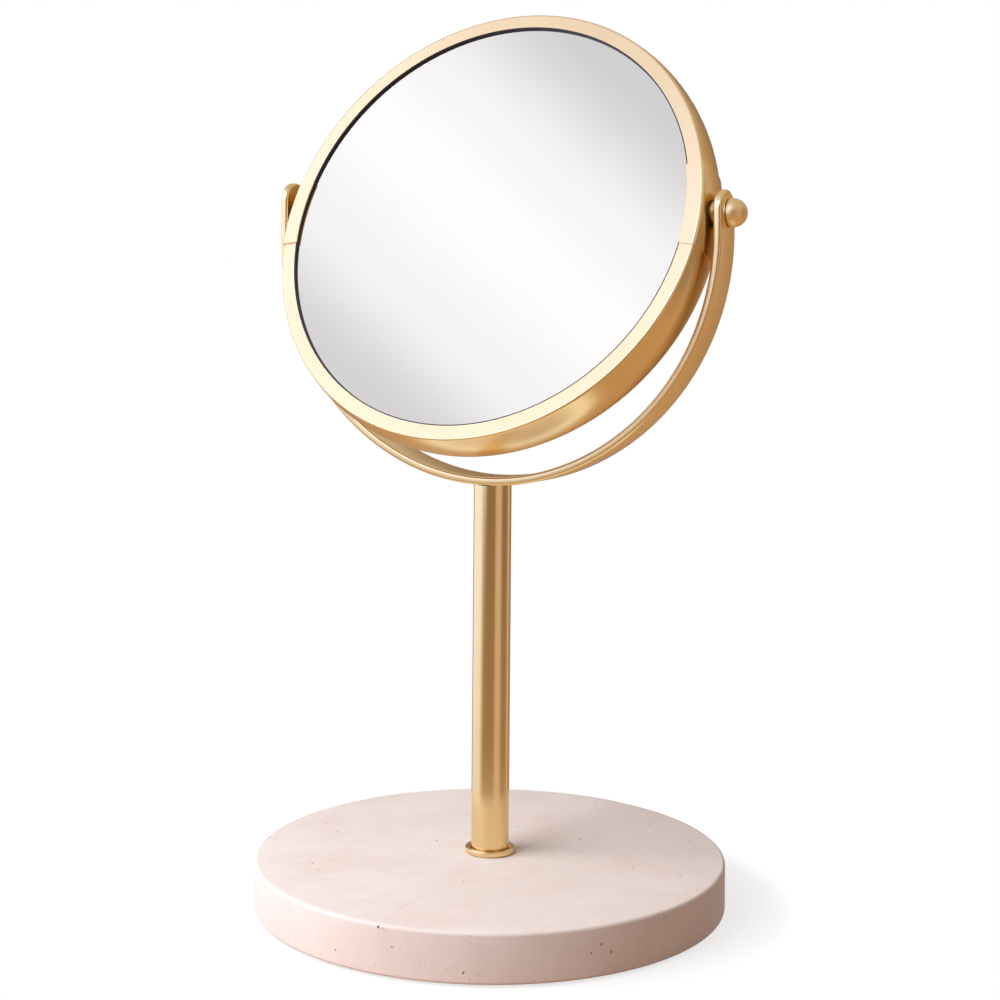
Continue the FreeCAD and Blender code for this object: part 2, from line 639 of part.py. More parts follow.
def left_pivot_screw():
    rod = chamfered_rod(THREAD_END, YOKE_RADIUS)
    head_top = YOKE_RADIUS + LOW_HEAD_HEIGHT
    head = cylinder_z(LOW_HEAD_RADIUS, YOKE_RADIUS, head_top)
    head = head.makeChamfer(LOW_HEAD_CHAMFER, edges_at_level(head, head_top, LOW_HEAD_RADIUS))
    head = head.cut(hexagon_z(LOW_HEAD_SOCKET_FLATS, head_top - LOW_HEAD_SOCKET_DEPTH, head_top + OVERCUT))
    return on_side(rod.fuse(laid_along_x(head)), -1)


# The whole mirror

SIDES = {"left": -1, "right": 1}


def stand_pieces():
    return {
        "base_pad": base_pad(),
        "base_slab": base_slab(),
        "base_bolt": base_bolt(),
        "base_lock_washer": base_lock_washer(),
        "base_washer": base_washer(),
        "foot_collar": foot_collar(),
        "post_tube": post_tube(),
        "post_foot_plug": post_foot_plug(),
        "post_top_plug": post_top_plug(),
        "yoke": yoke(),
        "yoke_screw": yoke_screw(),
    }


def head_pieces():
    pieces = {
        "upper_rim": half_rim(1),
        "lower_rim": half_rim(-1),
        "front_mirror": front_mirror(),
        "back_mirror": back_mirror(),
        "front_gasket": front_gasket(),
        "back_gasket": back_gasket(),
        "spacer_ring": spacer_ring(),
        "left_pivot_screw": left_pivot_screw(),
        "right_pivot_stud": right_pivot_stud(),
        "right_outer_washer": right_outer_washer(),
        "right_knob": right_knob(),
        "left_clip": clip(LEFT_CLIP_HALF_ANGLE, -1),
        "right_clip": clip(RIGHT_CLIP_HALF_ANGLE, 1),
    }
    for name, side in SIDES.items():
        pieces[name + "_pivot_nut"] = pivot_nut(side)
        pieces[name + "_pivot_bush"] = pivot_bush(side)
        pieces[name + "_spring_washer"] = spring_washer(side)
        pieces[name + "_friction_washer"] = friction_washer(side)
    return pieces


def placed_in_yoke(shape):
    """Tilt a head piece back about the pivot axis and lift it to its level."""
    shape.rotate(ORIGIN, X_AXIS, -REST_TILT)
    shape.translate(Vector(0, 0, PIVOT_LEVEL))
    return shape


def main():
    os.makedirs("parts", exist_ok=True)
    pieces = stand_pieces()
    for name, shape in head_pieces().items():
        pieces[name] = placed_in_yoke(shape)
    for name, shape in pieces.items():
        shape.exportStep("parts/" + name + ".step")
    print(len(pieces), "pieces, pivot axis at", round(PIVOT_LEVEL, 3))


main()
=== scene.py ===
"""Dresses a two-sided table mirror: satin brass head, yoke and post on a pitted cast stone base."""

import json
import math

import bmesh
import bpy
from mathutils import Matrix, Vector


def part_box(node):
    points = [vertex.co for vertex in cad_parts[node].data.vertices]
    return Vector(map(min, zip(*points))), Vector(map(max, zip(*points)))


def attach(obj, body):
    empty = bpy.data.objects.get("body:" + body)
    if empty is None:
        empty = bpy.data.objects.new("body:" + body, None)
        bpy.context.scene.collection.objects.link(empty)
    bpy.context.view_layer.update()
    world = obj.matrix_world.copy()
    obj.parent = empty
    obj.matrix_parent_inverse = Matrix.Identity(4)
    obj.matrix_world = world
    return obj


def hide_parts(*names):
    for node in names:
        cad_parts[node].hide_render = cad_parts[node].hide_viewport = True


bl_info = {
    "name": "Table mirror",
    "version": (1, 0, 0),
    "blender": (4, 5, 0),
    "location": "View3D > Sidebar > Table mirror",
    "description": "Dresses a tilting two-sided mirror on a post and a round stone base",
    "category": "Object",
}

MM = 0.001
STAND = "stand"
BOLT_HOLE_RADIUS = 4.5 * MM
WASHER_ROOM = 1.0 * MM
SCREW_SHANK_RADIUS = 2.5 * MM
SCREW_RIM_HEIGHT = 0.2 * MM

# Light of the stage, as linear colours in which 1 is white
WHITE = (1.0, 1.0, 1.0, 1.0)
MIRRORED_FLOOR = (1.2, 1.2, 1.2, 1.0)
PAPER = (0.3, 0.3, 0.3, 1.0)
DAYLIGHT = (1.13, 1.23, 1.7, 1.0)
BOX_WARM = (1.9, 1.92, 3.2, 1.0)
BOX_BRIGHT = (2.2, 2.75, 5.4, 1.0)
BOX_END = (0.86, 0.84, 1.15, 1.0)
BOX_EVEN = (0.88, 0.88, 0.9, 1.0)
STREAK_SIDE = Vector((0.600, 0.324, 0.732))

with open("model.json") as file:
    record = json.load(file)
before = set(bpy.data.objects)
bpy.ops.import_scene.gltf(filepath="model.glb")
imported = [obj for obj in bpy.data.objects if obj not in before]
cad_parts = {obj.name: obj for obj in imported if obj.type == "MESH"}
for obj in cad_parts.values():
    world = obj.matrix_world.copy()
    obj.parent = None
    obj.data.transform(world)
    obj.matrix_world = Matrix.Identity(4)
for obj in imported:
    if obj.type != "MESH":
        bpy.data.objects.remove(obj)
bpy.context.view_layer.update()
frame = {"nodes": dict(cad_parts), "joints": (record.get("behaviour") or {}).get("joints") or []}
nodes = frame["nodes"]
pivot = Vector(frame["joints"][0]["pos_m"])


# Plain helpers

def linear(hex_colour):
    """An sRGB hex colour as linear red, green, blue and alpha."""
    channels = [int(hex_colour[start:start + 2], 16) / 255 for start in (1, 3, 5)]
    return (*[c / 12.92 if c <= 0.04045 else ((c + 0.055) / 1.055) ** 2.4 for c in channels], 1.0)


def add(tree, kind, sockets=None, **settings):
    """Add a node. Settings are its properties. Sockets are its inputs, each a value or another node's
    output."""
    made = tree.nodes.new(kind)
    for name, value in settings.items():
        setattr(made, name, value)
    for name, value in (sockets or {}).items():
        if isinstance(value, bpy.types.NodeSocket):
            tree.links.new(value, made.inputs[name])
        else:
            made.inputs[name].default_value = value
    return made


def ramp(tree, value, stops):
    """Soft colour ramp over a value. Each stop is a position and a grey level or a colour."""
    made = add(tree, "ShaderNodeValToRGB", {"Fac": value})
    made.color_ramp.interpolation = "EASE"
    elements = made.color_ramp.elements
    while len(elements) < len(stops):
        elements.new(0.5)
    for element, (position, colour) in zip(elements, stops):
        element.position = position
        element.color = colour if isinstance(colour, tuple) else (colour, colour, colour, 1.0)
    return made.outputs["Color"]


def mix(tree, factor, first, second):
    """Colour socket that goes from the first colour to the second."""
    made = add(tree, "ShaderNodeMix", data_type="RGBA")
    # A Mix node has a factor and a pair of sockets for each of its data types. These are the colour ones.
    for socket, value in zip((made.inputs[0], made.inputs[6], made.inputs[7]), (factor, first, second)):
        if isinstance(value, bpy.types.NodeSocket):
            tree.links.new(value, socket)
        else:
            socket.default_value = value
    return made.outputs[2]


def new_material(name):
    """An empty node material and its output node."""
    material = bpy.data.materials.new(name)
    material.use_nodes = True
    material.node_tree.nodes.clear()
    output = add(material.node_tree, "ShaderNodeOutputMaterial")
    return material, material.node_tree, output


def finish_node(name, material):
    """Give a node of the frame its finish."""
    piece = nodes[name]
    piece.data.materials.clear()
    piece.data.materials.append(material)
    for polygon in piece.data.polygons:
        polygon.material_index = 0


def new_piece(name, mesh, body, replaces):
    """Link a finished mesh as a piece that rides on a body and stands for nodes of the frame."""
    piece = bpy.data.objects.new(name, mesh)
    bpy.context.scene.collection.objects.link(piece)
    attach(piece, body)
    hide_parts(*replaces)
    return piece


def settled_mesh(source, name):
    """The mesh that an object's modifiers make, after which the object is removed."""
    graph = bpy.context.evaluated_depsgraph_get()
    mesh = bpy.data.meshes.new_from_object(source.evaluated_get(graph), depsgraph=graph)
    mesh.name = name
    bpy.data.objects.remove(source)
    if not mesh.polygons:
        raise RuntimeError(f"{name} came out empty")
    return mesh


# Sizes and colours that a user would change

class BrassSettings(bpy.types.PropertyGroup):
    """Colour and finish of every brass piece"""

    colour: bpy.props.StringProperty(
        name="Brass", description="sRGB hex colour of the brass", default="#F0D399")
    roughness: bpy.props.FloatProperty(
        name="Roughness", description="Roughness of the satin finish", default=0.27, min=0, max=1)
    grain_width: bpy.props.FloatProperty(
        name="Grain width", description="Width of one brushed line", default=0.5 * MM, unit="LENGTH",
        precision=5)
    grain_length: bpy.props.FloatProperty(
        name="Grain length", description="Length of one brushed line", default=30 * MM, unit="LENGTH")


class YokeSettings(bpy.types.PropertyGroup):
    """Sizes of the yoke, the post's tube and the collar at its foot"""

    thickness: bpy.props.FloatProperty(
        name="Thickness", description="Thickness of the bent strip", default=3.7 * MM, unit="LENGTH",
        precision=4)
    edge_round: bpy.props.FloatProperty(
        name="Edge round", description="Radius of the strip's long edges", default=1.15 * MM, unit="LENGTH",
        precision=4)
    right_ear_rise: bpy.props.FloatProperty(
        name="Right ear", description="How far the right ear reaches above the pivot", default=9.6 * MM,
        unit="LENGTH", precision=4)
    bore_radius: bpy.props.FloatProperty(
        name="Pivot bore", description="Radius of the bores for the pivots", default=2.55 * MM,
        unit="LENGTH", precision=5)
    screw_fit: bpy.props.FloatProperty(
        name="Screw fit", description="Room round the countersunk screw", default=0.05 * MM, unit="LENGTH",
        precision=5)
    tube_wall: bpy.props.FloatProperty(
        name="Tube wall", description="Wall of the post's tube", default=1.2 * MM, unit="LENGTH",
        precision=4)
    collar_lip: bpy.props.FloatProperty(
        name="Collar lip", description="Width of the foot collar's rounded lip", default=2.0 * MM,
        unit="LENGTH", precision=4)
    collar_round: bpy.props.FloatProperty(
        name="Collar round", description="Radius of the lip's outer edge", default=0.6 * MM, unit="LENGTH",
        precision=5)
    collar_step: bpy.props.FloatProperty(
        name="Collar step", description="Height of the step that the post stands in", default=0.4 * MM,
        unit="LENGTH", precision=5)
    groove_depth: bpy.props.FloatProperty(
        name="Groove depth", description="Depth of the groove under the collar", default=0.9 * MM,
        unit="LENGTH", precision=5)
    groove_height: bpy.props.FloatProperty(
        name="Groove height", description="Height of the groove under the collar", default=0.45 * MM,
        unit="LENGTH", precision=5)


class StoneSettings(bpy.types.PropertyGroup):
    """Colours, rims and air pits of the slab"""

    colour: bpy.props.StringProperty(
        name="Stone", description="sRGB hex colour of the stone", default="#EEE4E0")
    cloud_colour: bpy.props.StringProperty(
        name="Clouding", description="sRGB hex colour of its soft clouds", default="#E9DBD5")
    speck_colour: bpy.props.StringProperty(
        name="Specks", description="sRGB hex colour of its fine specks", default="#C9AD9B")
    # Darker colour inside the pits: painted shade in the hollows
    pit_shade_colour: bpy.props.StringProperty(
        name="Pits", description="sRGB hex colour inside its air pits", default="#C0A391")
    edge_round: bpy.props.FloatProperty(
        name="Edge round", description="Radius of its rims", default=1.5 * MM, unit="LENGTH", precision=4)
    pit_radius: bpy.props.FloatProperty(
        name="Pit radius", description="Radius of the largest air pit", default=0.7 * MM, unit="LENGTH",
        precision=5)
    pits_per_area: bpy.props.FloatProperty(
        name="Pits", description="Air pits on each square metre of its skin", default=4200, min=0)
    seed: bpy.props.IntProperty(name="Seed", description="Which scatter of pits is used", default=4)


class HeadSettings(bpy.types.PropertyGroup):
    """Tilt of the head, the colour of its glasses, and the dark colour of its gaskets, which paints the shade
    in the rim's reveal
    """

    tilt: bpy.props.FloatProperty(
        name="Tilt at rest", description="How far the head leans back", default=math.radians(22),
        subtype="ANGLE")
    glass_colour: bpy.props.StringProperty(
        name="Silver", description="sRGB hex colour of the silvering", default="#F6F4F4")
    # Dark gasket colour: painted shade and painted dark reflection in the reveal between rim and glass
    shade_gasket_colour: bpy.props.StringProperty(
        name="Gasket", description="sRGB hex colour of the rubber", default="#1D1916")


class StageSettings(bpy.types.PropertyGroup):
    """Camera, lamp, room and floor"""

    camera_azimuth: bpy.props.FloatProperty(
        name="Azimuth", description="Where the camera stands", default=math.radians(28.10), subtype="ANGLE")
    camera_distance: bpy.props.FloatProperty(
        name="Distance", description="Camera to post axis", default=762.2 * MM, unit="LENGTH")
    camera_height: bpy.props.FloatProperty(
        name="Height", description="Camera above the floor", default=253.8 * MM, unit="LENGTH")
    camera_roll: bpy.props.FloatProperty(
        name="Roll", description="Turn about the line of sight", default=0.0082, subtype="ANGLE")
    lens: bpy.props.FloatProperty(
        name="Lens", description="Focal length in mm on a 36 mm sensor", default=63.08, min=1)
    shift_x: bpy.props.FloatProperty(
        name="Shift X", description="Sideways shift of the lens", default=0.0058)
    shift_y: bpy.props.FloatProperty(
        name="Shift Y", description="Upward shift of the lens", default=-0.1841)
    key_azimuth: bpy.props.FloatProperty(
        name="Key azimuth", description="Where the main lamp stands", default=math.radians(-38),
        subtype="ANGLE")
    key_elevation: bpy.props.FloatProperty(
        name="Key elevation", description="Height angle of the main lamp", default=math.radians(40.5),
        subtype="ANGLE")
    key_distance: bpy.props.FloatProperty(
        name="Key distance", description="Lamp to object", default=1.3, unit="LENGTH")
    key_size: bpy.props.FloatProperty(
        name="Key size", description="Side of the lamp", default=1.2, unit="LENGTH")
    key_power: bpy.props.FloatProperty(
        name="Key power", description="Power of the lamp", default=21.0, unit="POWER")
    fill: bpy.props.FloatProperty(
        name="Fill", description="Share of the room's light that falls on matt surfaces", default=0.56,
        min=0)
    room_dark: bpy.props.StringProperty(
        name="Dark walls", description="sRGB hex colour of the room's dark side", default="#97806E")
    room_far: bpy.props.StringProperty(
        name="Far walls", description="sRGB hex colour of the walls to the far right", default="#BF9C77")
    room_dusk: bpy.props.StringProperty(
        name="Half-lit walls", description="sRGB hex colour of its half-lit parts", default="#E0C9C5")
    room_low: bpy.props.StringProperty(
        name="Low walls", description="sRGB hex colour of the room below the table", default="#CCA882")
    room_high: bpy.props.StringProperty(
        name="Ceiling", description="sRGB hex colour of the room's ceiling", default="#D8CFC6")
    floor_radius: bpy.props.FloatProperty(
        name="Floor radius", description="Radius of the paper floor", default=0.17, unit="LENGTH")
    floor_bounce: bpy.props.StringProperty(
        name="Floor bounce", description="sRGB hex colour of light off the floor", default="#BC9475")
    floor_near: bpy.props.FloatProperty(
        name="Floor near", description="Brightness of the floor beside the object, where 1 is white",
        default=0.74, min=0, max=1)
    glow_start: bpy.props.FloatProperty(
        name="Glow start", description="Distance from the post at which the floor starts to turn white",
        default=0.12, unit="LENGTH")


# Finishes

def grain(tree, brass, centre, turn, polar):
    """Brushed lines as a value from 0 to 1. They run round the piece's own axis, which the mapping lays on
    Z, if polar, and along that axis if not. Real ones are about 0.05 mm wide; these are drawn coarser, so
    that they show."""
    place = add(tree, "ShaderNodeTexCoord").outputs["Object"]
    centred = add(tree, "ShaderNodeVectorMath", {0: place, 1: centre}, operation="SUBTRACT")
    own = add(tree, "ShaderNodeMapping", {
        "Vector": centred.outputs[0], "Rotation": turn}, vector_type="POINT")
    parts = add(tree, "ShaderNodeSeparateXYZ", {0: own.outputs[0]})
    x, y, z = parts.outputs
    if polar:
        angle = add(tree, "ShaderNodeMath", {0: y, 1: x}, operation="ARCTAN2")
        flat = add(tree, "ShaderNodeCombineXYZ", {"X": x, "Y": y})
        radius = add(tree, "ShaderNodeVectorMath", {0: flat.outputs[0]}, operation="LENGTH")
        run = add(tree, "ShaderNodeMath", {
            0: angle.outputs[0], 1: radius.outputs["Value"]}, operation="MULTIPLY")
        long_way, wide_way, deep_way = run.outputs[0], radius.outputs["Value"], z
    else:
        long_way, wide_way, deep_way = z, x, y
    along = add(tree, "ShaderNodeMath", {0: long_way, 1: 1 / brass.grain_length}, operation="MULTIPLY")
    across = add(tree, "ShaderNodeMath", {0: wide_way, 1: 1 / brass.grain_width}, operation="MULTIPLY")
    deep = add(tree, "ShaderNodeMath", {0: deep_way, 1: 1 / brass.grain_width}, operation="MULTIPLY")
    lines = add(tree, "ShaderNodeCombineXYZ", {
        "X": along.outputs[0], "Y": across.outputs[0], "Z": deep.outputs[0]})
    noise = add(tree, "ShaderNodeTexNoise", {"Vector": lines.outputs[0], "Scale": 1.0, "Detail": 3.0})
    return noise.outputs["Fac"]


def satin_brass(name, centre, turn=(0, 0, 0), polar=True, polish=1.0):
    """Lacquered satin brass, brushed with fine grit: a warm metal with soft, even gloss and only the faintest
    streaks, under a thin clear lacquer that adds a little white gloss. The colour drifts a little, as the
    lacquer's thickness does. A polish below 1 makes it smoother."""
    brass = bpy.context.scene.table_mirror_brass
    material, tree, output = new_material(name)
    lines = grain(tree, brass, centre, turn, polar)
    place = add(tree, "ShaderNodeTexCoord").outputs["Object"]
    cloud_size = 25 * MM
    cloud = add(tree, "ShaderNodeTexNoise", {"Vector": place, "Scale": 1 / cloud_size, "Detail": 2.0})
    roughness, streak = brass.roughness * polish, 0.01
    worn = add(tree, "ShaderNodeMapRange", {
        "Value": lines, "From Min": 0.3, "From Max": 0.7, "To Min": (1 - streak) * roughness,
        "To Max": (1 + streak) * roughness})
    tone = add(tree, "ShaderNodeMapRange", {
        "Value": cloud.outputs["Fac"], "From Min": 0.3, "From Max": 0.7, "To Min": 0.96, "To Max": 1.02})
    colour = add(tree, "ShaderNodeVectorMath", {0: linear(brass.colour)[:3], "Scale": tone.outputs[0]},
                 operation="SCALE")
    shader = add(tree, "ShaderNodeBsdfPrincipled", {
        "Base Color": colour.outputs[0], "Metallic": 1.0, "Roughness": worn.outputs[0], "Coat Weight": 0.1,
        "Coat Roughness": 0.2})
    tree.links.new(shader.outputs[0], output.inputs["Surface"])
    return material


def cast_stone(name, inside_pit):
    """Honed cast stone, a pale cement with fine marble dust: matt, softly clouded, with fine specks where
    grains lie near the skin. The inside of a pit is painted darker, as painted shade."""
    stone = bpy.context.scene.table_mirror_stone
    material, tree, output = new_material(name)
    place = add(tree, "ShaderNodeTexCoord").outputs["Object"]
    cloud_size, grit_size, grit_depth, speck_spacing = 32 * MM, 1.1 * MM, 0.08 * MM, 2.6 * MM
    speck_reach, cells_without, speck_strength, pit_shade = 0.15, 0.82, 0.55, 0.85
    cloud = add(tree, "ShaderNodeTexNoise", {
        "Vector": place, "Scale": 1 / cloud_size, "Detail": 4.0, "Roughness": 0.62, "Distortion": 0.4})
    clouding = add(tree, "ShaderNodeMapRange", {
        "Value": cloud.outputs["Fac"], "From Min": 0.38, "From Max": 0.68})
    grit = add(tree, "ShaderNodeTexNoise", {"Vector": place, "Scale": 1 / grit_size, "Detail": 2.0})
    base = mix(tree, clouding.outputs[0], linear(stone.colour), linear(stone.cloud_colour))
    cells = add(tree, "ShaderNodeTexVoronoi", {
        "Vector": place, "Scale": 1 / speck_spacing, "Randomness": 1.0})
    near = add(tree, "ShaderNodeMath", {0: cells.outputs["Distance"], 1: speck_reach}, operation="LESS_THAN")
    pick = add(tree, "ShaderNodeSeparateColor", {"Color": cells.outputs["Color"]})
    few = add(tree, "ShaderNodeMath", {0: pick.outputs[0], 1: cells_without}, operation="GREATER_THAN")
    speck = add(tree, "ShaderNodeMath", {0: near.outputs[0], 1: few.outputs[0]}, operation="MULTIPLY")
    strength = add(tree, "ShaderNodeMath", {0: speck.outputs[0], 1: speck_strength}, operation="MULTIPLY")
    surface = mix(tree, strength.outputs[0], base, linear(stone.speck_colour))
    # Inside a pit the colour is painted darker: painted shade
    if inside_pit:
        surface = mix(tree, pit_shade, surface, linear(stone.pit_shade_colour))
    bump = add(tree, "ShaderNodeBump", {
        "Height": grit.outputs["Fac"], "Strength": 0.12, "Distance": grit_depth})
    shader = add(tree, "ShaderNodeBsdfPrincipled", {
        "Base Color": surface, "Roughness": 0.62, "IOR": 1.5, "Normal": bump.outputs[0]})
    tree.links.new(shader.outputs[0], output.inputs["Surface"])
    return material


def silvered_glass(name):
    """Float glass with silver behind: a clean, sharp mirror with the faintest grey, and a film on it too thin
    to see but for a hundredth less light here and there."""
    head = bpy.context.scene.table_mirror_head
    material, tree, output = new_material(name)
    place = add(tree, "ShaderNodeTexCoord").outputs["Object"]
    film_size = 60 * MM
    haze = add(tree, "ShaderNodeTexNoise", {"Vector": place, "Scale": 1 / film_size, "Detail": 3.0})
    film = add(tree, "ShaderNodeMapRange", {
        "Value": haze.outputs["Fac"], "From Min": 0.35, "From Max": 0.65, "To Min": 0.99, "To Max": 1.0})
    colour = add(tree, "ShaderNodeVectorMath", {0: linear(head.glass_colour)[:3], "Scale": film.outputs[0]},
                 operation="SCALE")
    shader = add(tree, "ShaderNodeBsdfPrincipled", {
        "Base Color": colour.outputs[0], "Metallic": 1.0, "Roughness": 0.0})
    tree.links.new(shader.outputs[0], output.inputs["Surface"])
    return material


def plain_finish(name, hex_colour, roughness, metallic, grain_size, depth):
    """A moulded, plated or foamed finish: one colour with a fine, shallow texture of the given grain."""
    material, tree, output = new_material(name)
    place = add(tree, "ShaderNodeTexCoord").outputs["Object"]
    texture = add(tree, "ShaderNodeTexNoise", {"Vector": place, "Scale": 1 / grain_size, "Detail": 2.0})
    tone = add(tree, "ShaderNodeMapRange", {"Value": texture.outputs["Fac"], "To Min": 0.9, "To Max": 1.08})
    colour = add(tree, "ShaderNodeVectorMath", {0: linear(hex_colour)[:3], "Scale": tone.outputs[0]},
                 operation="SCALE")
    bump = add(tree, "ShaderNodeBump", {"Height": texture.outputs["Fac"], "Strength": 0.3, "Distance": depth})
    shader = add(tree, "ShaderNodeBsdfPrincipled", {
        "Base Color": colour.outputs[0], "Roughness": roughness, "Metallic": metallic,
        "Normal": bump.outputs[0]})
    tree.links.new(shader.outputs[0], output.inputs["Surface"])
    return material


# Stone slab

def lathed(name, outline, segments):
    """Mesh turned about Z from a closed outline of radius and height points that goes anticlockwise. Its
    points and faces always come in the same order, so that what is scattered on it stays put."""
    points, rings, faces = [], [], []
    for radius, height in outline:
        turns = [math.tau * step / segments for step in range(segments if radius else 1)]
        rings.append([len(points) + step for step in range(len(turns))])
        points += [(radius * math.cos(turn), radius * math.sin(turn), height) for turn in turns]
    for first, second in zip(rings, rings[1:] + rings[:1]):
        for step in range(segments):
            following = (step + 1) % segments
            corners = [ring[place % len(ring)] for ring, place in (
                (first, step), (first, following), (second, following), (second, step))]
            face = list(dict.fromkeys(corners))
            if len(face) > 2:
                faces.append(face)
    mesh = bpy.data.meshes.new(name)
    mesh.from_pydata(points, [], faces)
    return mesh


def quarter_round(centre, radius, start, steps):
    """Points of a quarter circle in radius and height, anticlockwise from an angle."""
    angles = [start + math.pi / 2 * step / steps for step in range(steps + 1)]
    return [(centre[0] + radius * math.cos(a), centre[1] + radius * math.sin(a)) for a in angles]


def slab_outline(stone):
    """Half section of the slab: its bolt hole, the recess under it for the washer, and its rounded rims."""
    low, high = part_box("base_slab")
    washer_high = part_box("base_washer")[1]
    radius, edge = high.x, stone.edge_round
    recess = washer_high.x + WASHER_ROOM
    foot = quarter_round((radius - edge, low.z + edge), edge, -math.pi / 2, 6)
    brow = quarter_round((radius - edge, high.z - edge), edge, 0, 6)
    return [(BOLT_HOLE_RADIUS, washer_high.z), (recess, washer_high.z), (recess, low.z), *foot, *brow,
            (BOLT_HOLE_RADIUS, high.z)]


def pit_cutter(pit_finish):
    """Tree that cuts scattered air pits into a slab's skin. The gap is the least distance between two pits,
    in radii of the largest. The rarity makes small ones the most common, and the smallest is a share of the
    largest."""
    gap, rarity, smallest, any_turn = 2.1, 5.0, 0.3, (6.3, 6.3, 6.3)
    tree = bpy.data.node_groups.new("air pits", "GeometryNodeTree")
    face = tree.interface
    face.new_socket("Geometry", in_out="INPUT", socket_type="NodeSocketGeometry")
    face.new_socket("Pits per area", in_out="INPUT", socket_type="NodeSocketFloat")
    face.new_socket("Largest radius", in_out="INPUT", socket_type="NodeSocketFloat")
    face.new_socket("Seed", in_out="INPUT", socket_type="NodeSocketInt")
    face.new_socket("Geometry", in_out="OUTPUT", socket_type="NodeSocketGeometry")
    given = add(tree, "NodeGroupInput").outputs
    apart = add(tree, "ShaderNodeMath", {0: given["Largest radius"], 1: gap}, operation="MULTIPLY")
    points = add(tree, "GeometryNodeDistributePointsOnFaces", distribute_method="POISSON")
    for name, source in (("Mesh", given["Geometry"]), ("Distance Min", apart.outputs[0]),
                         ("Density Max", given["Pits per area"]), ("Seed", given["Seed"])):
        tree.links.new(source, points.inputs[name])
    ball = add(tree, "GeometryNodeMeshIcoSphere", {"Radius": 1.0, "Subdivisions": 2})
    chance = add(tree, "FunctionNodeRandomValue", {2: 0.0, 3: 1.0, "Seed": given["Seed"]}, data_type="FLOAT")
    rare = add(tree, "ShaderNodeMath", {0: chance.outputs[1], 1: rarity}, operation="POWER")
    share = add(tree, "ShaderNodeMapRange", {"Value": rare.outputs[0], "To Min": smallest, "To Max": 1.0})
    radius = add(tree, "ShaderNodeMath", {
        0: share.outputs[0], 1: given["Largest radius"]}, operation="MULTIPLY")
    turn = add(tree, "FunctionNodeRandomValue", {
        0: (0, 0, 0), 1: any_turn, "Seed": given["Seed"]}, data_type="FLOAT_VECTOR")
    placed = add(tree, "GeometryNodeInstanceOnPoints", {
        "Points": points.outputs["Points"], "Instance": ball.outputs["Mesh"], "Rotation": turn.outputs[0],
        "Scale": radius.outputs[0]})
    real = add(tree, "GeometryNodeRealizeInstances", {0: placed.outputs[0]})
    # The pits get the darker finish, which paints the shade inside them
    shaded_pits = add(tree, "GeometryNodeSetMaterial", {0: real.outputs[0], "Material": pit_finish})
    cut = add(tree, "GeometryNodeMeshBoolean", {"Mesh 1": given["Geometry"], "Mesh 2": shaded_pits.outputs[0]},
              operation="DIFFERENCE", solver="MANIFOLD")
    add(tree, "NodeGroupOutput", {0: cut.outputs["Mesh"]})
    return tree


def shade_smooth_but_edges(mesh, edge_angle):
    """Shade a mesh smooth, and keep the edges sharp where its faces turn by more than an angle."""
    mesh.shade_smooth()
    mesh.set_sharp_from_angle(angle=edge_angle)


class TABLEMIRROR_OT_slab(bpy.types.Operator):
    """Cast the round stone slab, with air pits cut into its skin"""

    bl_idname = "table_mirror.slab"
    bl_label = "Stone slab"

    def execute(self, context):
        stone = context.scene.table_mirror_stone
        skin = cast_stone("honed cast stone", inside_pit=False)
        pit_finish = cast_stone("cast stone pit, painted shade", inside_pit=True)
        mesh = lathed("slab", slab_outline(stone), segments=240)
        mesh.materials.append(skin)
        draft = bpy.data.objects.new("slab draft", mesh)
        context.scene.collection.objects.link(draft)
        cutter = draft.modifiers.new("pits", "NODES")
        cutter.node_group = pit_cutter(pit_finish)
        inputs = {item.name: item.identifier for item in cutter.node_group.interface.items_tree
                  if item.in_out == "INPUT"}
        cutter[inputs["Pits per area"]] = stone.pits_per_area
        cutter[inputs["Largest radius"]] = stone.pit_radius
        cutter[inputs["Seed"]] = stone.seed
        pitted = settled_mesh(draft, "pitted slab")
        shade_smooth_but_edges(pitted, math.radians(25))
        new_piece("stone_slab", pitted, STAND, ["base_slab"])
        return {"FINISHED"}


# Yoke, post and foot collar

def strip_profile(half_width, thickness, edge_round, steps):
    """Half of the strip's cross section, on its +Y side, as pairs of half width and offset across its
    thickness. It goes from the outer face over the rounded edges to the inner face."""
    reach = thickness / 2 - edge_round
    turns = [math.pi / 2 * step / steps for step in range(steps + 1)]
    outer = [(half_width - edge_round * (1 - math.sin(turn)), reach + edge_round * math.cos(turn))
             for turn in turns]
    return outer + [(width, -offset) for width, offset in reversed(outer)]


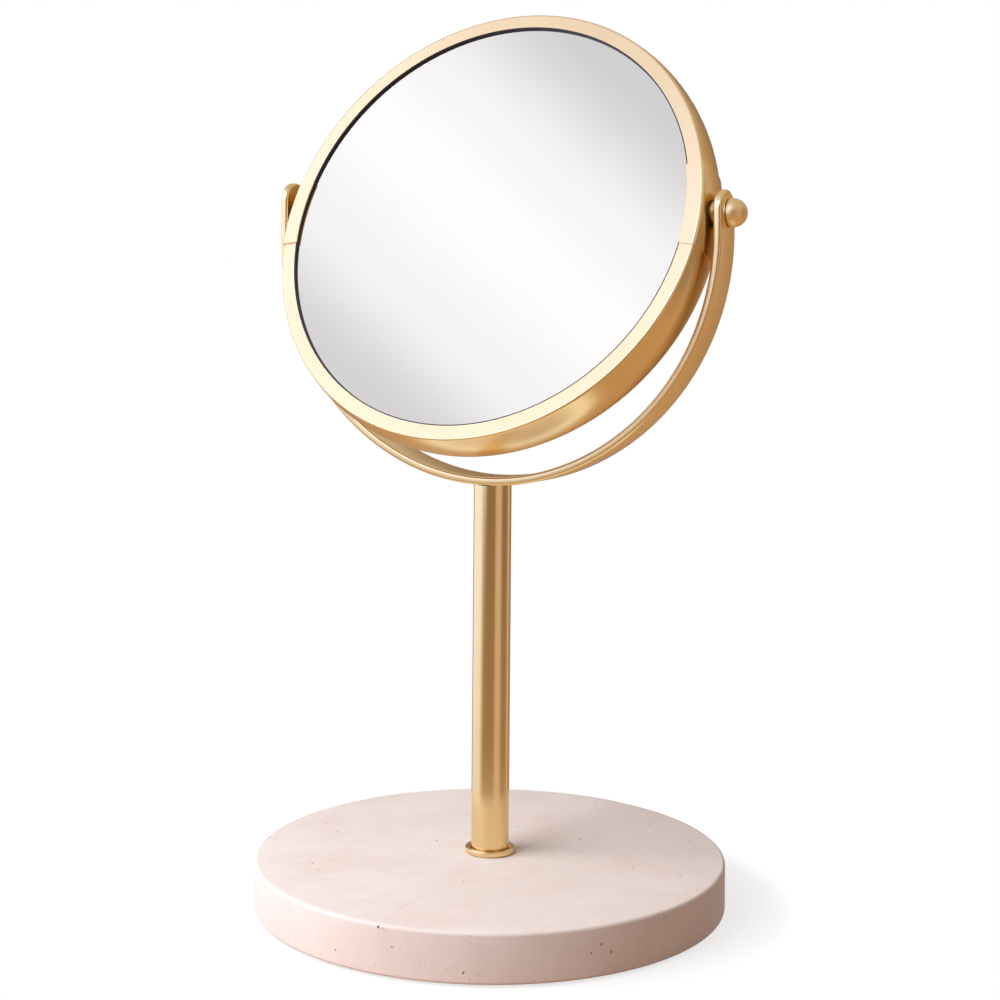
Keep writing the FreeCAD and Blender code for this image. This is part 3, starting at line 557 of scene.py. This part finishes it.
def yoke_mesh(yoke, low, high):
    """Bent strip with half-round ends and rounded edges. Stations run along it from the left end to the right
    one, and each is a ring of points round its profile."""
    ear_steps, bend_steps, weld = 24, 180, 0.002 * MM
    half_width, radius = high.y, high.x
    arc_level, middle = low.z + radius, radius - yoke.thickness / 2
    tops = {-1: high.z, 1: pivot.z + yoke.right_ear_rise}
    half = strip_profile(half_width, yoke.thickness, yoke.edge_round, 6)
    profile = half + [(-width, offset) for width, offset in reversed(half)]

    def ear(side):
        """Rings from the tip of an ear down to where the bend starts."""
        centre = tops[side] - half_width
        swings = [math.pi / 2 * (1 - step / ear_steps) for step in range(ear_steps + 1)]
        rings = [[
            Vector((side * (middle + offset), width * math.cos(swing), centre + abs(width) * math.sin(swing)))
            for width, offset in profile] for swing in swings]
        return rings + [[Vector((side * (middle + offset), width, arc_level)) for width, offset in profile]]

    def bend(turn):
        """Ring at a turn from the lowest point of the bend."""
        out, up = math.sin(turn), -math.cos(turn)
        return [Vector(((middle + offset) * out, width, arc_level + (middle + offset) * up))
                for width, offset in profile]

    turns = [math.pi * (step / bend_steps - 0.5) for step in range(1, bend_steps)]
    rings = ear(-1) + [bend(turn) for turn in turns] + list(reversed(ear(1)))

    shape = bmesh.new()
    stations = [[shape.verts.new(point) for point in ring] for ring in rings]
    for first, second in zip(stations, stations[1:]):
        for index in range(len(first)):
            following = (index + 1) % len(first)
            shape.faces.new((first[index], first[following], second[following], second[index]))
    for end in (stations[0], stations[-1]):
        for index in range(len(end) // 2 - 1):
            shape.faces.new((end[index], end[index + 1], end[-index - 2], end[-index - 1]))
    bmesh.ops.remove_doubles(shape, verts=shape.verts, dist=weld)
    bmesh.ops.dissolve_degenerate(shape, edges=shape.edges, dist=weld)
    bmesh.ops.recalc_face_normals(shape, faces=shape.faces)
    mesh = bpy.data.meshes.new("strip")
    shape.to_mesh(mesh)
    shape.free()
    return mesh


def cut_away(target, cutter_mesh):
    """Add a modifier that cuts a closed mesh out of an object, and return the cutter's object."""
    cutter = bpy.data.objects.new("cutter", cutter_mesh)
    bpy.context.scene.collection.objects.link(cutter)
    cut = target.modifiers.new("cut", "BOOLEAN")
    cut.operation = "DIFFERENCE"
    cut.solver = "MANIFOLD"
    cut.object = cutter
    return cutter


def bored_yoke(yoke):
    """Strip with the pivot's bore through both ears and a sink for the countersunk screw in its bend."""
    low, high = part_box("yoke")
    screw_low, screw_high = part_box("yoke_screw")
    draft = bpy.data.objects.new("yoke draft", yoke_mesh(yoke, low, high))
    bpy.context.scene.collection.objects.link(draft)
    past_ears, bore_radius = high.x + 2 * MM, yoke.bore_radius
    bore = lathed("bore", [
        (0, -past_ears), (bore_radius, -past_ears), (bore_radius, past_ears), (0, past_ears)], segments=64)
    bore.transform(Matrix.Translation(pivot) @ Matrix.Rotation(math.radians(90), 4, "Y"))
    head, shank = screw_high.x + yoke.screw_fit, SCREW_SHANK_RADIUS + yoke.screw_fit
    cone_top = screw_high.z - SCREW_RIM_HEIGHT
    cone_bottom = cone_top - (head - shank)
    clear_of_strip = low.z + 4 * yoke.thickness
    sink = lathed("sink", [
        (0, screw_low.z), (shank, screw_low.z), (shank, cone_bottom), (head, cone_top),
        (head, clear_of_strip), (0, clear_of_strip)], segments=64)
    cutters = [cut_away(draft, bore), cut_away(draft, sink)]
    bored = settled_mesh(draft, "bored yoke")
    for cutter in cutters:
        bpy.data.objects.remove(cutter)
    # The cut leaves an empty material slot behind.
    bored.materials.clear()
    shade_smooth_but_edges(bored, math.radians(30))
    return bored


def tube_mesh(yoke):
    """Tube of the post, with its upper end cut to sit against the bend of the yoke."""
    low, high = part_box("post_tube")
    yoke_low, yoke_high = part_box("yoke")
    bend = yoke_high.x
    outer, inner = high.x, high.x - yoke.tube_wall
    mesh = lathed("tube", [(inner, low.z), (outer, low.z), (outer, high.z), (inner, high.z)], segments=144)
    for vertex in mesh.vertices:
        if vertex.co.z > yoke_low.z:
            vertex.co.z = yoke_low.z + bend - math.sqrt(bend ** 2 - vertex.co.x ** 2)
    shade_smooth_but_edges(mesh, math.radians(30))
    return mesh


def collar_mesh(yoke):
    """Turned collar: a rounded lip with a narrow groove at its foot, and a seat that the post stands in."""
    low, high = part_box("foot_collar")
    tube_low, tube_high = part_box("post_tube")
    edge, inner_edge, slip_fit, groove_slope = yoke.collar_round, 0.4 * MM, 0.1 * MM, 0.15 * MM
    radius, seat_radius, seat_top = high.x, tube_high.x + slip_fit, tube_low.z + yoke.collar_step
    lip, groove = radius - yoke.collar_lip, radius - yoke.groove_depth
    groove_top = low.z + yoke.groove_height
    foot = [(groove, low.z), (groove, groove_top), (radius, groove_top + groove_slope)]
    brow = quarter_round((radius - edge, high.z - edge), edge, 0, 6)
    inner = quarter_round((lip + inner_edge, high.z - inner_edge), inner_edge, math.pi / 2, 4)
    seat = [(lip, seat_top), (seat_radius, seat_top), (seat_radius, tube_low.z)]
    mesh = lathed("collar", [
        (BOLT_HOLE_RADIUS, low.z), *foot, *brow, *inner, *seat, (BOLT_HOLE_RADIUS, tube_low.z)], segments=96)
    shade_smooth_but_edges(mesh, math.radians(25))
    return mesh


class TABLEMIRROR_OT_yoke(bpy.types.Operator):
    """Bend the yoke from a strip with rounded edges, cut the post's tube and turn the collar at its foot"""

    bl_idname = "table_mirror.yoke"
    bl_label = "Yoke, post and collar"

    def execute(self, context):
        yoke = context.scene.table_mirror_yoke
        low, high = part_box("yoke")
        arc_centre, post_foot = Vector((0, 0, low.z + high.x)), Vector((0, 0, 0))
        across = (math.radians(90), 0, 0)
        strip = bored_yoke(yoke)
        strip.materials.append(satin_brass("brass strip, brushed along", arc_centre, turn=across))
        new_piece("bent_yoke", strip, STAND, ["yoke"])
        collar = collar_mesh(yoke)
        collar.materials.append(satin_brass("brass collar, turned", post_foot, polish=0.7))
        new_piece("turned_collar", collar, STAND, ["foot_collar"])
        tube = tube_mesh(yoke)
        tube.materials.append(satin_brass("brass tube, polished along", post_foot, polar=False, polish=0.65))
        new_piece("polished_tube", tube, STAND, ["post_tube"])
        return {"FINISHED"}


class TABLEMIRROR_OT_brass(bpy.types.Operator):
    """Give the brass pieces their brushed finish, each along its own making direction"""

    bl_idname = "table_mirror.brass"
    bl_label = "Brass pieces"

    def execute(self, context):
        head = context.scene.table_mirror_head
        head_axis, pivot_axis = (math.radians(90) + head.tilt, 0, 0), (0, math.radians(90), 0)
        rim = satin_brass("brass rim, brushed round", pivot, head_axis)
        turned = satin_brass("brass, turned on the pivot axis", pivot, pivot_axis, polish=1.25)
        for name in ("upper_rim", "lower_rim", "left_clip", "right_clip"):
            finish_node(name, rim)
        finish_node("yoke_screw", satin_brass("brass screw, turned", Vector((0, 0, 0))))
        for name in ("left_pivot_screw", "right_outer_washer", "left_pivot_bush", "right_pivot_bush"):
            finish_node(name, turned)
        finish_node("right_knob", satin_brass("brass knob, tumbled", pivot, pivot_axis, polish=1.6))
        return {"FINISHED"}


class TABLEMIRROR_OT_glasses(bpy.types.Operator):
    """Silver the two glasses and make the gaskets round them dark, as painted shade in the rim's reveal"""

    bl_idname = "table_mirror.glasses"
    bl_label = "Glasses and gaskets"

    def execute(self, context):
        head = context.scene.table_mirror_head
        silver = silvered_glass("silvered float glass")
        # The gaskets are dark to paint the shade and the dark reflection in the reveal beside the glass
        rubber = plain_finish("dark gasket, painted shade", head.shade_gasket_colour, roughness=0.6, metallic=0.0,
                              grain_size=0.8 * MM, depth=0.05 * MM)
        for name in ("front_mirror", "back_mirror"):
            finish_node(name, silver)
        for name in ("front_gasket", "back_gasket"):
            finish_node(name, rubber)
        return {"FINISHED"}


class TABLEMIRROR_OT_hardware(bpy.types.Operator):
    """Finish the steel, nylon, moulded and foam pieces, most of which are out of sight"""

    bl_idname = "table_mirror.hardware"
    bl_label = "Hidden hardware"

    def execute(self, context):
        zinc = plain_finish("zinc plated steel", "#C4C6C8", roughness=0.34, metallic=1.0,
                            grain_size=3 * MM, depth=0.02 * MM)
        nylon = plain_finish("nylon washer", "#38332E", roughness=0.45, metallic=0.0,
                             grain_size=0.6 * MM, depth=0.03 * MM)
        moulded = plain_finish("moulded ABS", "#55565A", roughness=0.5, metallic=0.0,
                               grain_size=0.5 * MM, depth=0.03 * MM)
        foam = plain_finish("closed cell foam", "#DAD4CC", roughness=0.9, metallic=0.0,
                            grain_size=0.7 * MM, depth=0.2 * MM)
        for name in ("base_bolt", "base_lock_washer", "base_washer", "post_foot_plug", "post_top_plug",
                     "right_pivot_stud", "left_pivot_nut", "right_pivot_nut", "left_spring_washer",
                     "right_spring_washer"):
            finish_node(name, zinc)
        for name in ("left_friction_washer", "right_friction_washer"):
            finish_node(name, nylon)
        finish_node("spacer_ring", moulded)
        finish_node("base_pad", foam)
        return {"FINISHED"}


# Stage

def seen_factor(tree):
    """1 for rays that see the stage, straight or in metal and glass, and 0 for those that only light
    things."""
    path = add(tree, "ShaderNodeLightPath").outputs
    direct = add(tree, "ShaderNodeMath", {
        0: path["Is Camera Ray"], 1: path["Is Glossy Ray"]}, operation="ADD")
    return add(tree, "ShaderNodeMath", {
        0: direct.outputs[0], 1: path["Is Transmission Ray"]}, operation="ADD", use_clamp=True).outputs[0]


def from_angles(azimuth, elevation):
    """Direction towards an azimuth, counted from -Y towards +X, and a height angle."""
    level = math.cos(elevation)
    return Vector((math.sin(azimuth) * level, -math.cos(azimuth) * level, math.sin(elevation)))


def smooth_rise(tree, value, start, end):
    """0 up to the start and 1 from the end on, with a soft change between them."""
    return add(tree, "ShaderNodeMapRange", {"Value": value, "From Min": start, "From Max": end},
               interpolation_type="SMOOTHSTEP").outputs[0]


def room_colour(tree, stage, direction, height):
    """Walls lit by daylight on the object's left, with a window beside them towards the camera, and warm and
    half-lit elsewhere, between a warm room below the table and a pale ceiling."""
    # The ramp goes round from 0 behind the object, over its left, 0.5 at the camera and its right, to 1.
    turned = add(tree, "ShaderNodeMapping", {
        "Vector": direction, "Rotation": (0, 0, math.radians(-90) + stage.camera_azimuth)},
        vector_type="TEXTURE")
    around = add(tree, "ShaderNodeTexGradient", {"Vector": turned.outputs[0]}, gradient_type="RADIAL")
    dark, dusk, far = linear(stage.room_dark), linear(stage.room_dusk), linear(stage.room_far)
    walls = ramp(tree, around.outputs["Fac"], [
        (0.0, dark), (0.075, dark), (0.115, DAYLIGHT), (0.29, DAYLIGHT), (0.33, 0.7), (0.365, dark),
        (0.53, dark), (0.58, dusk), (0.635, dusk), (0.69, dark), (0.77, dark), (0.82, dusk), (0.86, far),
        (0.93, dark)])
    pane = ramp(tree, around.outputs["Fac"], [(0.28, 0.0), (0.3, 1.0), (0.385, 1.0), (0.41, 0.0)])
    over_sill = smooth_rise(tree, height, -0.1, -0.075)
    window = add(tree, "ShaderNodeMath", {0: pane, 1: over_sill}, operation="MULTIPLY")
    walls = mix(tree, window.outputs[0], walls, DAYLIGHT)
    grounded = mix(tree, smooth_rise(tree, height, -0.1, -0.5), walls, linear(stage.room_low))
    return mix(tree, smooth_rise(tree, height, 0.3, 0.6), grounded, linear(stage.room_high))


def soft_box(tree, stage, direction, height, sharp, room):
    """The room with a big round soft box up on the left. Its rim is brightest at the height of the lamp, but
    even in a sharp mirror. Its middle has a soft streak. The edges of rim and middle are cosines of the angle
    from the box's centre."""
    rim_edge, middle_edge = (0.78, 0.86), (0.9848, 0.9912)
    box = from_angles(stage.key_azimuth, stage.key_elevation)
    nearness = add(tree, "ShaderNodeVectorMath", {0: direction, 1: box}, operation="DOT_PRODUCT")
    to_box = nearness.outputs["Value"]
    glow = ramp(tree, height, [
        (0.5, BOX_WARM), (0.57, BOX_WARM), (0.64, BOX_BRIGHT), (0.69, BOX_BRIGHT), (0.75, BOX_END)])
    rim = mix(tree, sharp, glow, BOX_EVEN)
    lit = mix(tree, ramp(tree, to_box, [(rim_edge[0], 0.0), (rim_edge[1], 1.0)]), room, rim)
    along = add(tree, "ShaderNodeVectorMath", {0: direction, 1: STREAK_SIDE}, operation="DOT_PRODUCT")
    box_along = add(tree, "ShaderNodeVectorMath", {0: box, 1: STREAK_SIDE}, operation="DOT_PRODUCT")
    offset = add(tree, "ShaderNodeMath", {
        0: along.outputs["Value"], 1: box_along.outputs["Value"]}, operation="SUBTRACT")
    across = add(tree, "ShaderNodeMapRange", {"Value": offset.outputs[0], "From Min": -0.2, "From Max": 0.2})
    middle = ramp(tree, across.outputs[0], [(0.2, 0.72), (0.34, 1.0), (0.5, 1.1), (0.6, 1.02), (0.78, 0.7)])
    return mix(tree, smooth_rise(tree, to_box, *middle_edge), lit, middle)


def make_world(stage):
    """White backdrop for the camera. Metal and glass show a studio room with a soft box instead, and sharp
    mirrors a white floor below the horizon. Matt surfaces get a share of the room's light."""
    world = bpy.data.worlds.new("studio")
    world.use_nodes = True
    tree = world.node_tree
    tree.nodes.clear()
    direction = add(tree, "ShaderNodeTexCoord").outputs["Generated"]
    height = add(tree, "ShaderNodeSeparateXYZ", {0: direction}).outputs["Z"]
    path = add(tree, "ShaderNodeLightPath").outputs
    room = room_colour(tree, stage, direction, height)
    lit = soft_box(tree, stage, direction, height, path["Is Singular Ray"], room)
    under = add(tree, "ShaderNodeMath", {0: height, 1: 0.0}, operation="LESS_THAN")
    in_glass = add(tree, "ShaderNodeMath", {
        0: under.outputs[0], 1: path["Is Singular Ray"]}, operation="MULTIPLY")
    mirrored = mix(tree, in_glass.outputs[0], lit, MIRRORED_FLOOR)
    seen = mix(tree, path["Is Camera Ray"], mirrored, WHITE)
    soft = add(tree, "ShaderNodeVectorMath", {0: room, "Scale": stage.fill}, operation="SCALE")
    light = mix(tree, seen_factor(tree), soft.outputs[0], seen)
    background = add(tree, "ShaderNodeBackground", {"Color": light, "Strength": 1.0})
    add(tree, "ShaderNodeOutputWorld", {"Surface": background.outputs[0]})
    bpy.context.scene.world = world


def make_floor(stage):
    """Pale paper floor that glows up to plain white away from the object, so that no horizon shows. Metal and
    glass show it as the camera sees it. Matt surfaces only get the warm light that it throws back."""
    shape = bmesh.new()
    bmesh.ops.create_circle(shape, cap_ends=True, segments=96, radius=stage.floor_radius)
    mesh = bpy.data.meshes.new("floor")
    shape.to_mesh(mesh)
    shape.free()
    floor = bpy.data.objects.new("studio_floor", mesh)
    bpy.context.scene.collection.objects.link(floor)
    material, tree, output = new_material("pale studio floor")
    place = add(tree, "ShaderNodeTexCoord").outputs["Object"]
    distance = add(tree, "ShaderNodeVectorMath", {0: place}, operation="LENGTH")
    white_from = 0.9 * stage.floor_radius
    glow = add(tree, "ShaderNodeMapRange", {
        "Value": distance.outputs["Value"], "From Min": stage.glow_start, "From Max": white_from,
        "To Min": stage.floor_near, "To Max": 1.0}, interpolation_type="SMOOTHSTEP")
    bounce = add(tree, "ShaderNodeBsdfDiffuse", {"Color": linear(stage.floor_bounce)})
    paper = add(tree, "ShaderNodeBsdfDiffuse", {"Color": PAPER})
    light = add(tree, "ShaderNodeEmission", {"Color": WHITE, "Strength": glow.outputs[0]})
    pale = add(tree, "ShaderNodeAddShader", {0: paper.outputs[0], 1: light.outputs[0]})
    mixed = add(tree, "ShaderNodeMixShader", {0: seen_factor(tree), 1: bounce.outputs[0], 2: pale.outputs[0]})
    tree.links.new(mixed.outputs[0], output.inputs["Surface"])
    mesh.materials.append(material)


def make_camera(stage):
    """Camera that looks level at the post's axis, with its lens shifted to frame the object."""
    camera = bpy.data.objects.new("camera", bpy.data.cameras.new("camera"))
    bpy.context.scene.collection.objects.link(camera)
    camera.data.sensor_width = 36
    camera.data.lens = stage.lens
    camera.data.shift_x = stage.shift_x
    camera.data.shift_y = stage.shift_y
    back = from_angles(stage.camera_azimuth, 0)
    place = back * stage.camera_distance
    place.z = stage.camera_height
    turn = back.to_track_quat("Z", "Y").to_matrix().to_4x4()
    camera.matrix_world = Matrix.Translation(place) @ turn @ Matrix.Rotation(stage.camera_roll, 4, "Z")
    bpy.context.scene.camera = camera


def make_key(stage):
    """Square area lamp that faces the origin. Metal and glass show the room's soft box in its place."""
    data = bpy.data.lights.new("key", "AREA")
    data.shape = "SQUARE"
    data.size = stage.key_size
    data.energy = stage.key_power
    lamp = bpy.data.objects.new("key", data)
    bpy.context.scene.collection.objects.link(lamp)
    towards = from_angles(stage.key_azimuth, stage.key_elevation)
    lamp.location = towards * stage.key_distance
    lamp.rotation_mode = "QUATERNION"
    lamp.rotation_quaternion = towards.to_track_quat("Z", "Y")
    lamp.visible_camera = False
    lamp.visible_glossy = False


class TABLEMIRROR_OT_stage(bpy.types.Operator):
    """Set up the pale floor, the room light, the main lamp and the camera"""

    bl_idname = "table_mirror.stage"
    bl_label = "Stage"

    def execute(self, context):
        stage = context.scene.table_mirror_stage
        context.scene.view_settings.view_transform = "Standard"
        make_world(stage)
        make_floor(stage)
        make_key(stage)
        make_camera(stage)
        return {"FINISHED"}


class TABLEMIRROR_PT_panel(bpy.types.Panel):
    """Lists the steps and their settings"""

    bl_label = "Table mirror"
    bl_idname = "TABLEMIRROR_PT_panel"
    bl_space_type = "VIEW_3D"
    bl_region_type = "UI"
    bl_category = "Table mirror"

    def draw(self, context):
        for step in STEPS:
            self.layout.operator(step.bl_idname)
        for key, group in SETTINGS.items():
            box = self.layout.box()
            for name in group.__annotations__:
                box.prop(getattr(context.scene, key), name)


STEPS = (
    TABLEMIRROR_OT_slab,
    TABLEMIRROR_OT_yoke,
    TABLEMIRROR_OT_brass,
    TABLEMIRROR_OT_glasses,
    TABLEMIRROR_OT_hardware,
    TABLEMIRROR_OT_stage,
)
SETTINGS = {
    "table_mirror_brass": BrassSettings,
    "table_mirror_yoke": YokeSettings,
    "table_mirror_stone": StoneSettings,
    "table_mirror_head": HeadSettings,
    "table_mirror_stage": StageSettings,
}


def register():
    for group in SETTINGS.values():
        bpy.utils.register_class(group)
    for step in STEPS:
        bpy.utils.register_class(step)
    bpy.utils.register_class(TABLEMIRROR_PT_panel)
    for key, group in SETTINGS.items():
        setattr(bpy.types.Scene, key, bpy.props.PointerProperty(type=group))


def unregister():
    for key in SETTINGS:
        delattr(bpy.types.Scene, key)
    bpy.utils.unregister_class(TABLEMIRROR_PT_panel)
    for group in (*STEPS, *SETTINGS.values()):
        bpy.utils.unregister_class(group)


def main():
    """Register the add-on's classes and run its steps."""
    register()
    bpy.ops.table_mirror.slab()
    bpy.ops.table_mirror.yoke()
    bpy.ops.table_mirror.brass()
    bpy.ops.table_mirror.glasses()
    bpy.ops.table_mirror.hardware()
    bpy.ops.table_mirror.stage()


if __name__ == "__main__":
    main()
